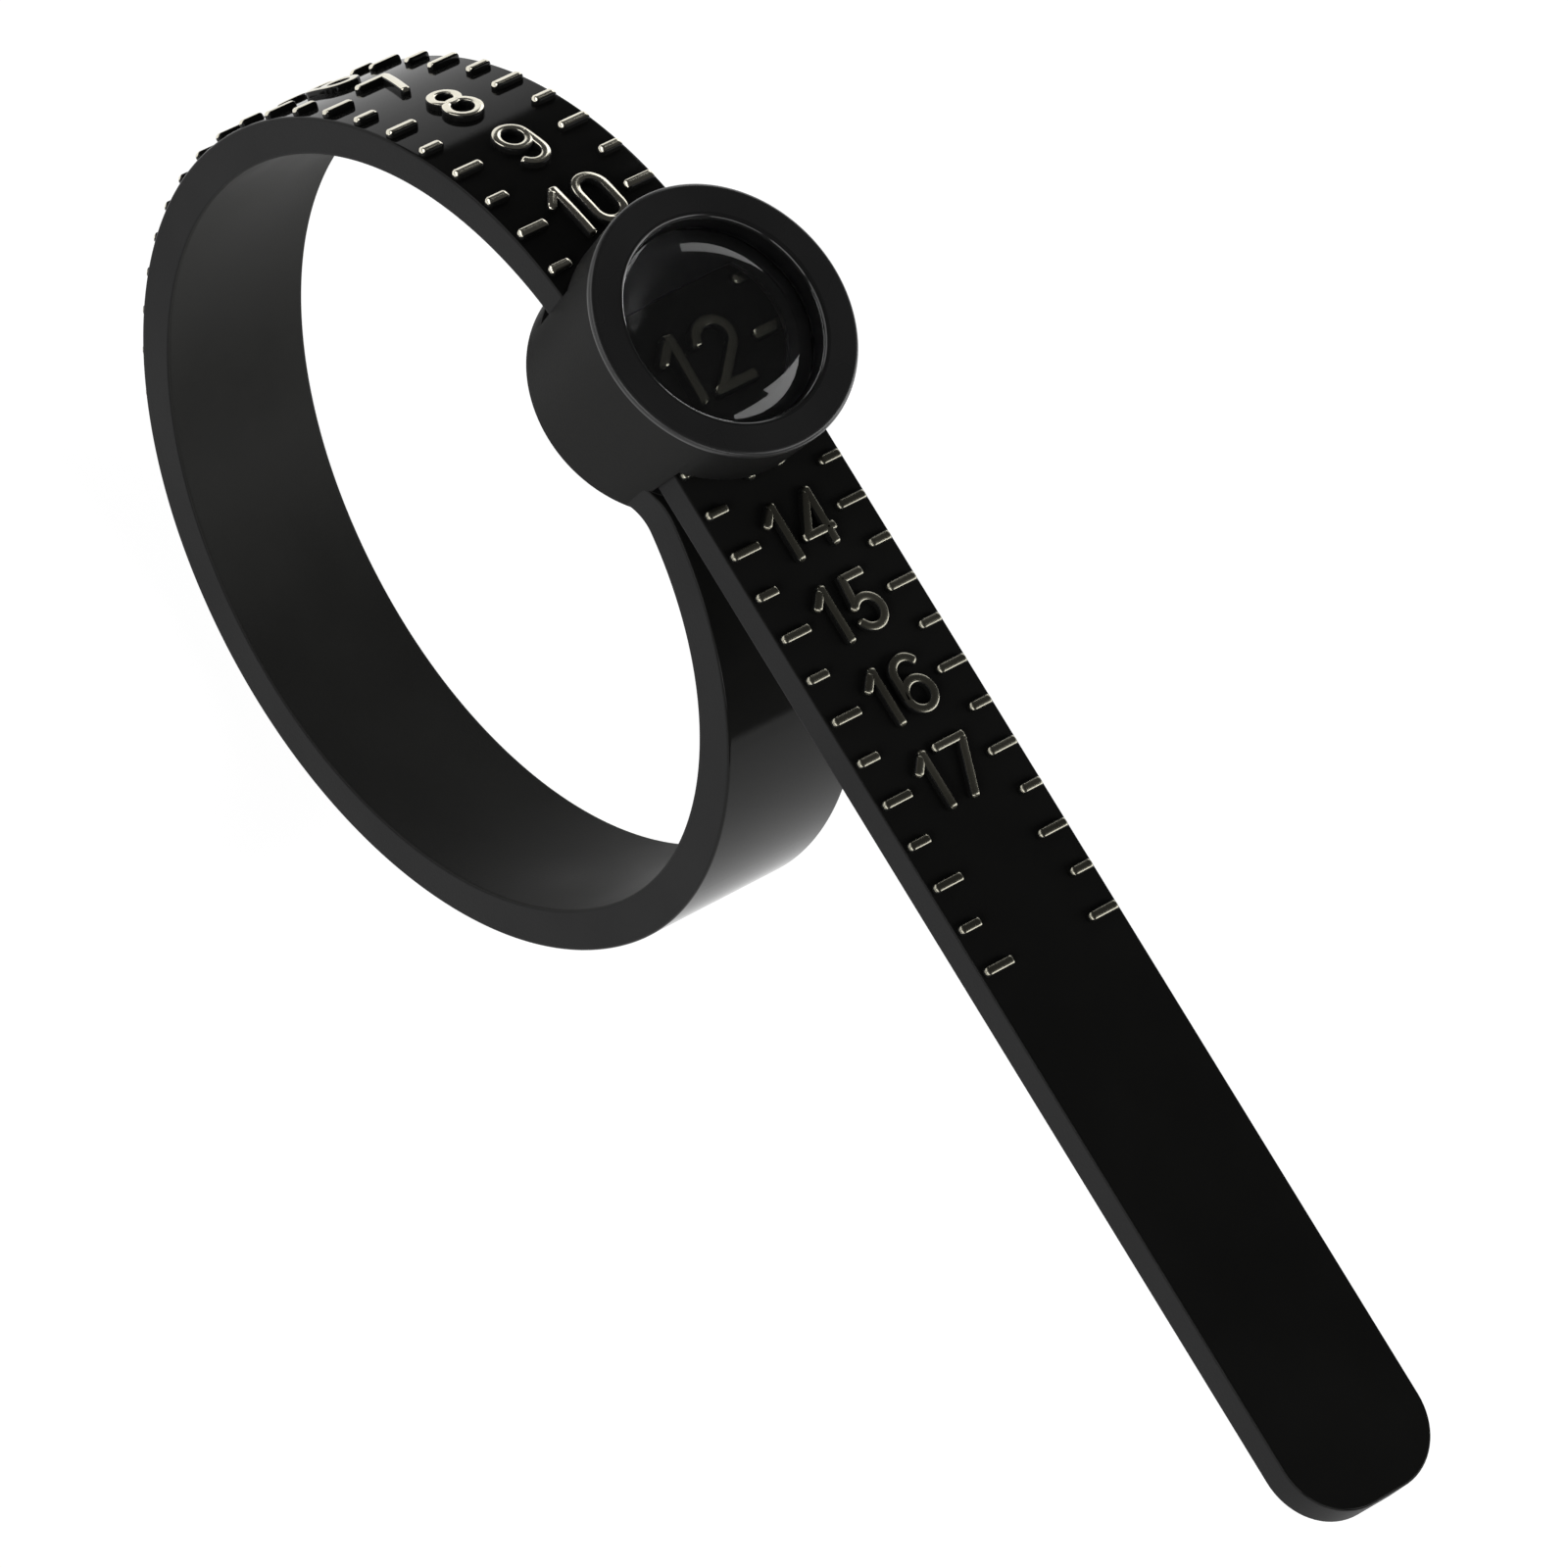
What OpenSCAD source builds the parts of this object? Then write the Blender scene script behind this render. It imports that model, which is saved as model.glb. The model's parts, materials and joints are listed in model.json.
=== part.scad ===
// Ring sizer stick: a marked strap threaded back through its own round head, under a magnifying lens.
// Frame: +X is the way the tail leaves the head, +Y is across the strap and +Z is up through the lens.
// The origin is the centre of the head's flat base.
// The strap bends all along its length, so its loop and its tail are chains of short stiff links.

/* [Strap] */
// Width of the strap at its root
root_w = 4.7; // [4.5:0.05:4.9]
// Width of the tail; the loop widens evenly towards it
tail_w = 4.95; // [4.8:0.05:5]
// Thickness of the plain part of the loop, next to the root
root_t = 1.2; // [1.1:0.05:1.25]
// Thickness of the tail; the marked part of the loop thins down to this
tail_t = 1.0; // [0.8:0.05:1.1]
// Height of the middle of the tail above the head's base
tail_z = 2.0; // [1.95:0.05:2.05]
// Distance from the head's axis to the end of the tail
tail_end = 35.2; // [34:0.2:38]
// Radius of the two corners at the end of the tail
tip_r = 1.9; // [0.5:0.1:2.2]
// Where the tail's bending links meet, along X
flex_x = [20, 25, 30]; // [18:0.5:32]

/* [Loop] */
// Where the strap's first arc starts below the head, along X
root_x = 1.45; // [1:0.05:2]
// Height of the middle of the strap at its root
root_z = 0.75; // [0.7:0.05:0.8]
// Bend radius of the arc next to the root
root_bend_r = 9.7; // [9:0.1:10.5]
// Turn of the arc next to the root
root_turn = 102; // [90:1:115]
// Bend radius of the arc opposite the head
far_bend_r = 12; // [11:0.1:13]
// Turn of the arc opposite the head
far_turn = 99; // [85:1:110]

/* [Scale] */
// Inside length of the loop that one full size adds
size_step = 2.553; // [2.5:0.001:2.6]
// Size that the gauge shows
shown_size = 12; // [10:1:14]
// Place of that size under the lens, along X
shown_x = 0.35; // [0.2:0.05:0.5]
// First size on the scale
first_size = 1; // [1:1:4]
// Last size that has a numeral
last_numeral = 17; // [14:1:17]
// Last size that has a pair of marks
last_size = 19; // [14:0.5:19]
// Width of a mark along the strap
mark_w = 0.28; // [0.2:0.02:0.3]
// Length of the marks of a full size
mark_long = 1.0; // [0.8:0.05:1.2]
// Length of the marks of a half size
mark_short = 0.75; // [0.5:0.05:0.9]
// Gap between the marks and the strap's edge
mark_gap = 0.1; // [0.05:0.05:0.3]
// Height that marks and numerals stand above the strap
mark_h = 0.2; // [0.1:0.01:0.22]
// Height of a numeral
digit_h = 1.8; // [1.5:0.05:1.9]
// Width of any figure but a 1
digit_w = 1.15; // [1:0.05:1.2]
// Width of a 1
one_w = 0.7; // [0.6:0.05:0.8]
// Width of a figure's strokes
stroke = 0.28; // [0.2:0.02:0.3]
// Space between two figures of one numeral
digit_gap = 0.25; // [0.2:0.05:0.3]

/* [Head] */
// Radius of the head at its base
head_base_r = 3.65; // [3.6:0.05:3.8]
// Radius of the head at its rim
head_rim_r = 3.93; // [3.85:0.01:4]
// Height of the head
head_h = 4.7; // [4.6:0.05:4.8]
// Rounding of the rim's outer edge
rim_round = 0.2; // [0.1:0.05:0.35]
// Height of the ledge that the lens rests on
ledge_z = 3.1; // [3.05:0.05:3.5]
// Radius of the window below the lens
window_r = 2.1; // [2:0.05:2.65]
// Flat side of the window, towards the loop
window_flat_x = -1.3; // [-2:0.05:-1.1]
// Width of the slot for the strap
slot_w = 5.1; // [5.05:0.05:5.6]
// Height of the slot's floor
slot_floor = 1.3; // [1.25:0.05:1.45]
// Height of the slot's ceiling
slot_top = 2.85; // [2.8:0.05:2.9]
// Radius of the fillets between the head and the root of the strap
neck_r = 1.5; // [1:0.1:2]

/* [Lens] */
// Radius of the lens
lens_r = 2.85; // [2.8:0.05:2.88]
// Height of the lens's straight edge
lens_edge = 1.05; // [0.6:0.05:1.1]
// Height of the lens's dome above that edge
lens_dome = 0.75; // [0.5:0.05:1]

/* [Hidden] */
$fn = 96;
plain_joints = [18, 60, 102, 141, 180];  // turns at which the links of the plain part of the loop meet
marked_joints = [1, 3, 5, 7, 9];         // sizes whose numerals follow the joints of the marked part
joint_gap = 0.04;        // running clearance of every strap joint
splice_gap = 0.1;        // gap between the last loop link and the tail, under the lens
seat_gap = 0.06;         // radial gap between the lens and the wall round it
sunk = 0.05;             // how far marks and numerals reach down into the strap
ramp_x = [-1, -4.6];     // the slot's floor ramps down here, where the strap comes in
ramp_drop = 0.7;         // how far it ramps down
strap_color = "#17181a";
head_color = "#222326";

// The third arc closes the loop: its radius brings the strap back to the tail's height.
far_from = root_turn;
top_from = root_turn + far_turn;
top_bend_r = (tail_z - root_z + root_bend_r * (1 - cos(far_from))
              + far_bend_r * (cos(far_from) - cos(top_from))) / (1 - cos(top_from));

// Each arc: turn where it starts, turn where it ends, bend radius.
arcs = [[0, far_from, root_bend_r], [far_from, top_from, far_bend_r], [top_from, 360, top_bend_r]];

// Centre of arc k: the arcs run on from each other, so each centre follows from the one before.
function arc_center(k) = k == 0
    ? [root_x, root_z - arcs[0][2]]
    : arc_center(k - 1) + (arcs[k - 1][2] - arcs[k][2]) * [sin(arcs[k][0]), cos(arcs[k][0])];
function arc_of(turn) = turn < far_from ? 0 : turn < top_from ? 1 : 2;
// Middle of the strap after a given turn, as [x, z].
function strap_point(turn) = let (k = arc_of(turn))
    arc_center(k) + arcs[k][2] * [sin(turn), cos(turn)];

straight_x = strap_point(360)[0];
// Distance along the strap from the start of its straight part to a size, negative on the loop.
function size_at(size) = (size - shown_size) * size_step + shown_x - straight_x;
function turn_at(along) = 360 + along / top_bend_r * 180 / PI;
// The joints of the marked part fall just before a numeral, where nothing stands on the strap.
digit_margin = digit_h / 2 + 0.01;
joints = concat(plain_joints, [for (s = marked_joints) turn_at(size_at(s) - digit_margin)]);
link_count = len(joints);
// The tail starts midway between numeral 11 and mark 11.5.
splice_x = shown_x - size_step / 2 - mark_w / 2 - 0.11;
splice_turn = turn_at(splice_x - straight_x);
// The marked links thin evenly from the plain part's thickness to the tail's.
function link_t(i) = root_t - (root_t - tail_t) * max(0, i - 4) / 6;
// Every link of the loop is a little wider than the one before.
function link_w(i) = root_w + (tail_w - root_w) * (i + 1) / (link_count + 1);

// A sector of the strap in the XZ plane, drawn in 2D.
module band(from, to, t) {
    for (k = [0 : 2]) {
        a = max(from, arcs[k][0]);
        b = min(to, arcs[k][1]);
        r = arcs[k][2];
        if (b > a)
            translate(arc_center(k)) intersection() {
                difference() {
                    circle(r + t / 2, $fn = 180);
                    circle(r - t / 2, $fn = 180);
                }
                polygon([[0, 0], 2 * r * [sin(a), cos(a)], 2 * r * [sin(b), cos(b)]]);
            }
    }
}

// Turns a drawing in the XZ plane into a solid of width w across the strap.
module across(w) {
    rotate([90, 0, 0]) linear_extrude(w, center = true) children();
}

// Places children on the strap's outer face, at a distance along from the start of the straight part.
module on_face(along, t) {
    if (along < 0) {
        turn = turn_at(along);
        p = strap_point(turn);
        translate([p[0], 0, p[1]]) rotate([0, turn, 0]) translate([0, 0, t / 2 - sunk]) children();
    } else
        translate([straight_x + along, 0, tail_z + t / 2 - sunk]) children();
}

// A straight stroke between two points.
module bar(p, q) {
    d = (q - p) / norm(q - p) * stroke / 2;
    n = [-d[1], d[0]];
    polygon([p + n, p - n, q - n, q + n]);
}

// A curved stroke: outer radius r about c, from angle a up to angle b.
module curve(c, r, a, b) {
    reach = 3 * r;
    translate(c) intersection() {
        difference() {
            circle(r);
            circle(r - stroke);
        }
        polygon(concat([[0, 0]], [for (s = [0 : 4]) let (g = a + (b - a) * s / 4) reach * [cos(g), sin(g)]]));
    }
}

module ring(c, r) {
    translate(c) difference() {
        circle(r);
        circle(r - stroke);
    }
}

// One figure, drawn upright with its lower left corner at the origin.
module figure(n) {
    r = digit_w / 2;
    in = stroke / 2;
    if (n == 0) {
        curve([r, r], r, 180, 360);
        curve([r, digit_h - r], r, 0, 180);
        bar([in, r], [in, digit_h - r]);
        bar([digit_w - in, r], [digit_w - in, digit_h - r]);
    }
    if (n == 1) {
        bar([one_w - in, 0], [one_w - in, digit_h]);
        bar([one_w - in, digit_h - 0.12], [0.08, digit_h - 0.55]);
    }
    if (n == 2) {
        curve([r, digit_h - r], r, -40, 165);
        bar([r + 0.36, digit_h - r - 0.26], [in, in]);
        bar([0, in], [digit_w, in]);
    }
    if (n == 3) {
        curve([r, digit_h - 0.52], 0.52, -90, 150);
        curve([r, r], r, -150, 90);
    }
    if (n == 4) {
        bar([0.85, 0], [0.85, digit_h]);
        bar([0.8, digit_h - 0.1], [0.12, 0.58]);
        bar([0, 0.52], [digit_w, 0.52]);
    }
    if (n == 5) {
        curve([r, r], r, -150, 130);
        bar([0.28, 0.85], [0.36, digit_h - in]);
        bar([0.25, digit_h - in], [digit_w - 0.1, digit_h - in]);
    }
    if (n == 6) six();
    if (n == 7) {
        bar([0, digit_h - in], [digit_w, digit_h - in]);
        bar([digit_w - in, digit_h - stroke], [0.36, 0]);
    }
    if (n == 8) {
        ring([r, r], r);
        ring([r, digit_h - 0.5], 0.5);
    }
    if (n == 9) translate([digit_w, digit_h]) rotate(180) six();
}

module six() {
    r = digit_w / 2;
    ring([r, r], r);
    curve([r, digit_h - r], r, 40, 180);
    bar([stroke / 2, r], [stroke / 2, digit_h - r]);
}

function figure_w(n) = n == 1 ? one_w : digit_w;

// A numeral of one or two figures, centred, with its top toward -X and reading toward +Y.
module numeral(n) {
    tens = floor(n / 10);
    ones = n % 10;
    tens_w = tens > 0 ? figure_w(tens) + digit_gap : 0;
    rotate(90) translate([-(tens_w + figure_w(ones)) / 2, -digit_h / 2]) {
        if (tens > 0) figure(tens);
        translate([tens_w, 0]) figure(ones);
    }
}

// The pair of marks at a size, and its numeral if the size is a full one, on a strap of width w.
module marking(size, t, w) {
    full = size == floor(size);
    length = full ? mark_long : mark_short;
    on_face(size_at(size), t) {
        for (side = [-1, 1])
            translate([-mark_w / 2, side * (w / 2 - mark_gap - length / 2) - length / 2, 0])
                cube([mark_w, length, sunk + mark_h]);
        if (full && size <= last_numeral) linear_extrude(sunk + mark_h) numeral(size);
    }
}

// A link of the loop: a round tongue at its first joint and a socket at its last.
module loop_link(i) {
    last = i == link_count - 1;
    t = link_t(i);
    to = last ? splice_turn : joints[i + 1];
    color(strap_color) {
        across(link_w(i)) difference() {
            union() {
                translate(strap_point(joints[i])) circle(t / 2);
                band(joints[i], to, t);
            }
            if (last)
                translate([splice_x - splice_gap / 2, 0]) square([1, 4]);
            else
                translate(strap_point(to)) circle(link_t(i + 1) / 2 + joint_gap);
        }
        for (size = [first_size : 0.5 : shown_size - 1])
            if (turn_at(size_at(size)) > joints[i] && turn_at(size_at(size)) < to)
                marking(size, t, link_w(i));
    }
}

// A straight length of tail from x = from to x = to, drawn in the XZ plane.
module tail_band(from, to) {
    translate([from, tail_z - tail_t / 2]) square([to - from, tail_t]);
}

// The tail's marked length, which carries the sizes from under the lens to the last marks.
module tail_scale() {
    color(strap_color) {
        across(tail_w) difference() {
            tail_band(splice_x + splice_gap / 2, flex_x[0]);
            translate([flex_x[0], tail_z]) circle(tail_t / 2 + joint_gap);
        }
        for (size = [shown_size - 0.5 : 0.5 : last_size]) marking(size, tail_t, tail_w);
    }
}

// A plain link of the tail, between two of its joints.
module tail_link(i) {
    color(strap_color) across(tail_w) difference() {
        union() {
            translate([flex_x[i], tail_z]) circle(tail_t / 2);
            tail_band(flex_x[i], flex_x[i + 1]);
        }
        translate([flex_x[i + 1], tail_z]) circle(tail_t / 2 + joint_gap);
    }
}

// The end of the tail, with its rounded corners.
module tail_tip() {
    start = flex_x[len(flex_x) - 1];
    color(strap_color) {
        translate([start, 0, tail_z]) rotate([90, 0, 0]) cylinder(h = tail_w, r = tail_t / 2, center = true);
        translate([0, 0, tail_z - tail_t / 2]) linear_extrude(tail_t) {
            translate([start, -tail_w / 2]) square([tail_end - tip_r - start, tail_w]);
            translate([start, tip_r - tail_w / 2]) square([tail_end - start, tail_w - 2 * tip_r]);
            for (side = [-1, 1]) translate([tail_end - tip_r, side * (tail_w / 2 - tip_r)]) circle(tip_r);
        }
    }
}

// Profile of the head's outer wall, from its base to its rounded rim.
module head_profile() {
    square([head_rim_r - rim_round, head_h]);
    polygon([[0, 0], [head_base_r, 0], [head_rim_r, head_h - rim_round], [0, head_h - rim_round]]);
    translate([head_rim_r - rim_round, head_h - rim_round]) circle(rim_round);
}

// Fillets that widen the root of the strap into the round head, drawn from above.
module neck() {
    reach = head_base_r + neck_r;
    side = root_w / 2 + neck_r;
    neck_x = sqrt(reach * reach - side * side);
    difference() {
        polygon([[0, 0], [neck_x, -side], [neck_x, side]]);
        for (s = [-1, 1]) translate([neck_x, s * side]) circle(neck_r);
    }
}

// Head and root of the strap, moulded in one piece.
module housing() {
    color(head_color) difference() {
        union() {
            rotate_extrude() head_profile();
            linear_extrude(root_t) neck();
            across(root_w) band(0, joints[0], root_t);
        }
        translate([0, 0, ledge_z]) cylinder(h = head_h, r = lens_r + seat_gap);
        window();
        across_slot();
        rotate([90, 0, 0]) translate([strap_point(joints[0])[0], strap_point(joints[0])[1], 0])
            cylinder(h = 2 * root_w, r = link_t(0) / 2 + joint_gap, center = true);
    }
}

// The window under the lens, cut flat on the side where the strap comes in.
module window() {
    translate([0, 0, slot_floor]) linear_extrude(head_h) intersection() {
        circle(window_r);
        translate([window_flat_x, -window_r]) square([2 * window_r, 2 * window_r]);
    }
}

// The slot through the head, with the ramp that lets the bent strap in.
module across_slot() {
    rotate([90, 0, 0]) linear_extrude(slot_w, center = true) {
        translate([-2 * head_rim_r, slot_floor]) square([4 * head_rim_r, slot_top - slot_floor]);
        polygon([[ramp_x[0], slot_floor], [ramp_x[1], slot_floor - ramp_drop], [ramp_x[1], slot_top],
                 [ramp_x[0], slot_top]]);
    }
}

// Plano-convex magnifying lens, resting on the ledge round the window.
module lens() {
    dome_r = (lens_r * lens_r + lens_dome * lens_dome) / (2 * lens_dome);
    color([0.9, 0.95, 1, 0.35]) translate([0, 0, ledge_z]) rotate_extrude() {
        square([lens_r, lens_edge]);
        intersection() {
            translate([0, lens_edge + lens_dome - dome_r]) circle(dome_r, $fn = 180);
            translate([0, lens_edge]) square([lens_r, lens_dome]);
        }
    }
}

housing();
lens();
loop_link(0);  // loop_link_01
loop_link(1);  // loop_link_02
loop_link(2);  // loop_link_03
loop_link(3);  // loop_link_04
loop_link(4);  // loop_link_05
loop_link(5);  // loop_link_06
loop_link(6);  // loop_link_07
loop_link(7);  // loop_link_08
loop_link(8);  // loop_link_09
loop_link(9);  // loop_link_10
tail_scale();
tail_link(0);  // tail_link_01
tail_link(1);  // tail_link_02
tail_tip();
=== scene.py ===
"""Ring sizer stick: a marked black strap looped back through its own round head, under a magnifying lens.

Lengths are in millimetres here, and are turned into metres where meshes are made. A place on the strap
is (along, across, up): along runs from the root under the head, round the loop and out to the tail's end,
across is +Y, and up is the height above the middle of the strap, towards the face that carries the scale.
"""
import json
import math

import bmesh
import bpy
from mathutils import Matrix, Vector


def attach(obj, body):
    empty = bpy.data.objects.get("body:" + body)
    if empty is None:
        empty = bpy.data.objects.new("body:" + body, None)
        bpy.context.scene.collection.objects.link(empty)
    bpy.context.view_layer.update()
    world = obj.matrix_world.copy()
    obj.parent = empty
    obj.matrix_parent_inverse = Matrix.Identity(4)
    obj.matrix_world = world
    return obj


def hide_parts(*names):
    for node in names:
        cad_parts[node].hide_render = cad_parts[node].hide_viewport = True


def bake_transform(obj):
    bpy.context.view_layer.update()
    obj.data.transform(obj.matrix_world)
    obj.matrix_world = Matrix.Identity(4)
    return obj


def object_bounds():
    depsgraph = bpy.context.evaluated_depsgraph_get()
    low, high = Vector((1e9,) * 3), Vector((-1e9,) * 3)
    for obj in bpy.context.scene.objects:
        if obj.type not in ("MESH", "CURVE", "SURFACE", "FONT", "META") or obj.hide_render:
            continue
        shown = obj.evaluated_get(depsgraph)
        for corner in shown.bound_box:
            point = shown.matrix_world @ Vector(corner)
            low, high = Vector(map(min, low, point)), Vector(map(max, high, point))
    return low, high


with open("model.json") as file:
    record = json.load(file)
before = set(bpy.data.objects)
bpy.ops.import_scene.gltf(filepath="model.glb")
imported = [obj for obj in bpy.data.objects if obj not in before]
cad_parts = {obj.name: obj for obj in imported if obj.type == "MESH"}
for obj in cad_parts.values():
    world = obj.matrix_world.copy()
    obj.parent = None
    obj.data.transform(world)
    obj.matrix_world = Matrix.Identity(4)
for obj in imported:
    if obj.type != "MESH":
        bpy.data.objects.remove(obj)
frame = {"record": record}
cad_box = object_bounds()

MM = 0.001
UV_TILE = 10

# ---------------------------------------------------------------- sizes
# They are the CAD model's sizes, apart from the roundings of the rim and of the neck, and from the head's two
# radii, which are a hair smaller to stay inside the CAD model's box.
ROOT_W, TAIL_W = 4.7, 4.95
ROOT_T, TAIL_T = 1.2, 1.0
TAIL_Z = 2.0
TAIL_END = 35.2
TIP_R = 1.9
ROOT_X, ROOT_Z = 1.45, 0.75
ROOT_R, ROOT_TURN = 9.7, 102.0
FAR_R, FAR_TURN = 12.0, 201.0
SIZE_STEP, SHOWN_SIZE, SHOWN_X = 2.553, 12, 0.35
FIRST_SIZE, LAST_NUMERAL, LAST_SIZE = 1, 17, 19
MARK_W, MARK_LONG, MARK_SHORT, MARK_GAP = 0.28, 1.0, 0.75, 0.1
MARK_H, SUNK = 0.2, 0.05
DIGIT_H, DIGIT_W, ONE_W, STROKE, DIGIT_GAP = 1.8, 1.15, 0.7, 0.28, 0.25
HEAD_BASE_R, HEAD_RIM_R, HEAD_H, RIM_ROUND = 3.64, 3.92, 4.7, 0.15
LEDGE_Z, WINDOW_R, WINDOW_FLAT_X = 3.1, 2.1, -1.3
SLOT_W, SLOT_FLOOR, SLOT_TOP = 5.1, 1.3, 2.85
RAMP_X, RAMP_DROP = (-1.0, -4.6), 0.7
NECK_R = 2.0
LENS_R, LENS_EDGE, LENS_DOME, SEAT_GAP = 2.85, 1.05, 0.75, 0.06


def sin(deg):
    return math.sin(math.radians(deg))


def cos(deg):
    return math.cos(math.radians(deg))


# ---------------------------------------------------------------- the strap's middle line
TOP_R = ((TAIL_Z - ROOT_Z + ROOT_R * (1 - cos(ROOT_TURN)) + FAR_R * (cos(ROOT_TURN) - cos(FAR_TURN)))
         / (1 - cos(FAR_TURN)))


def loop_arcs():
    """The arcs of the loop, and its whole length.

    Each arc is its turn and length where it starts, its turn where it ends, its radius and its centre (x, z).
    """
    turns_and_radii = ((0, ROOT_TURN, ROOT_R), (ROOT_TURN, FAR_TURN, FAR_R), (FAR_TURN, 360, TOP_R))
    arcs = []
    length = 0.0
    cx, cz, last_r = ROOT_X, ROOT_Z - ROOT_R, ROOT_R
    for start, end, r in turns_and_radii:
        cx += (last_r - r) * sin(start)
        cz += (last_r - r) * cos(start)
        arcs.append((start, length, end, r, cx, cz))
        length += math.radians(end - start) * r
        last_r = r
    return arcs, length


ARCS, LOOP_LENGTH = loop_arcs()
STRAIGHT_X = ARCS[2][4]


def along_of_turn(turn):
    """Length along the strap at a turn of the loop."""
    start, length, _, r, _, _ = [a for a in ARCS if a[0] <= turn][-1]
    return length + math.radians(turn - start) * r


def along_of_x(x):
    """Length along the strap at an X on its straight part."""
    return LOOP_LENGTH + x - STRAIGHT_X


def along_of_size(size):
    """Length along the strap at a size's mark."""
    return along_of_x((size - SHOWN_SIZE) * SIZE_STEP + SHOWN_X)


def middle(along):
    """Place of the strap's middle and its turn from the root, as x, z, degrees."""
    if along >= LOOP_LENGTH:
        return STRAIGHT_X + along - LOOP_LENGTH, TAIL_Z, 360.0
    start, length, _, r, cx, cz = [a for a in ARCS if a[1] <= max(along, 0)][-1]
    turn = start + math.degrees((along - length) / r)
    return cx + r * sin(turn), cz + r * cos(turn), turn


def on_strap(along, across, up):
    """The point in metres at a place on the strap."""
    x, z, turn = middle(along)
    return Vector((x + up * sin(turn), across, z + up * cos(turn))) * MM


# The splice is where the loop ends and the tail starts, just before a mark under the lens.
SPLICE_TO_MARK = 0.11
SPLICE = along_of_x(SHOWN_X - SIZE_STEP / 2 - MARK_W / 2 - SPLICE_TO_MARK)
THIN_TURN = 185
THINS_FROM = along_of_turn(THIN_TURN)


def thickness(along):
    """The plain part is thicker, and the marked part of the loop thins evenly up to the splice."""
    share = min(max((along - THINS_FROM) / (SPLICE - THINS_FROM), 0), 1)
    return ROOT_T + (TAIL_T - ROOT_T) * share


# ---------------------------------------------------------------- the strap's shape
NECK_X = math.sqrt((HEAD_BASE_R + NECK_R) ** 2 - (ROOT_W / 2 + NECK_R) ** 2)
NECK_END = along_of_turn(math.degrees(math.asin((NECK_X - ROOT_X) / ROOT_R)))
FLARE = NECK_X * NECK_R / (HEAD_BASE_R + NECK_R)
EDGE_OUT, EDGE_IN = 0.07, 0.08      # rounding of the edges of the marked face and of the inner face
EDGE_PARTS = 5
EDGE_STEP = 0.03                    # width of the flat band beside each rounded edge
MARKED_TO, INNER_TO = 0.75, 0.5     # how far into its rounded edge a face's material goes
MARKED_FACE, SIDE_FACE, INNER_FACE, RAISED = range(4)
STATION = 0.14
TIP_PARTS = 18


def half_width(along):
    """The strap widens evenly from the root to the splice."""
    return (ROOT_W + (TAIL_W - ROOT_W) * min(max(along / SPLICE, 0), 1)) / 2


def edge_of(along):
    """Half the strap's width, and how far its outline leans from straight along (degrees)."""
    end = along_of_x(TAIL_END)
    if along < NECK_END:
        back = min(NECK_END - along, FLARE)
        lean = -math.degrees(math.asin(back / NECK_R))
        return half_width(along) + NECK_R * (1 - cos(lean)), lean
    if along > end - TIP_R:
        lean = math.degrees(math.asin(min((along - end + TIP_R) / TIP_R, 1)))
        return half_width(along) - TIP_R * (1 - cos(lean)), lean
    return half_width(along), 0.0


def side_profile(t):
    """Half a cross-section, from the marked face over the side to the inner face, as insets and heights."""
    turns = [90 * k / EDGE_PARTS for k in range(EDGE_PARTS + 1)]
    points = [(EDGE_OUT + EDGE_STEP, t / 2)]
    points += [(EDGE_OUT * (1 - sin(a)), t / 2 - EDGE_OUT * (1 - cos(a))) for a in turns]
    points += [(0, t / 2 - EDGE_OUT - EDGE_STEP), (0, EDGE_IN + EDGE_STEP - t / 2)]
    points += [(EDGE_IN * (1 - cos(a)), EDGE_IN * (1 - sin(a)) - t / 2) for a in turns]
    points.append((EDGE_IN + EDGE_STEP, -t / 2))
    return points


def stations(start, end):
    """Places along a strap piece where it gets a cross-section; the rounded tip gets more of them."""
    tip = along_of_x(TAIL_END) - TIP_R
    count = max(2, round((min(end, tip) - start) / STATION))
    places = [start + (min(end, tip) - start) * k / count for k in range(count + 1)]
    if end > tip:
        places += [tip + TIP_R * sin(90 * k / TIP_PARTS) for k in range(1, TIP_PARTS + 1)]
    return places


def cross_section(along):
    """The outline of the strap's cross-section as places on the strap, once round."""
    half, lean = edge_of(along)
    sides = []
    for side in (1, -1):
        sides.append([(along - inset * sin(lean), side * (half - inset * cos(lean)), up)
                      for inset, up in side_profile(thickness(along))])
    left, right = sides
    return left + spread(left[-1], right[-1], 3) + right[::-1] + spread(right[0], left[0], 3)


def spread(p, q, parts):
    """Evenly spaced places between two places."""
    return [tuple(a + (b - a) * k / parts for a, b in zip(p, q)) for k in range(1, parts)]


def strap_uv(place):
    """Where a place on the strap lies in the UV map."""
    along, across, up = place
    return along / UV_TILE, (across - up) / UV_TILE


def surface_of(p, q, t):
    """The material for the strap between two neighbouring places of its outline."""
    if min(p[2], q[2]) > t / 2 - EDGE_OUT * MARKED_TO:
        return MARKED_FACE
    if max(p[2], q[2]) < EDGE_IN * INNER_TO - t / 2:
        return INNER_FACE
    return SIDE_FACE


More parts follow.
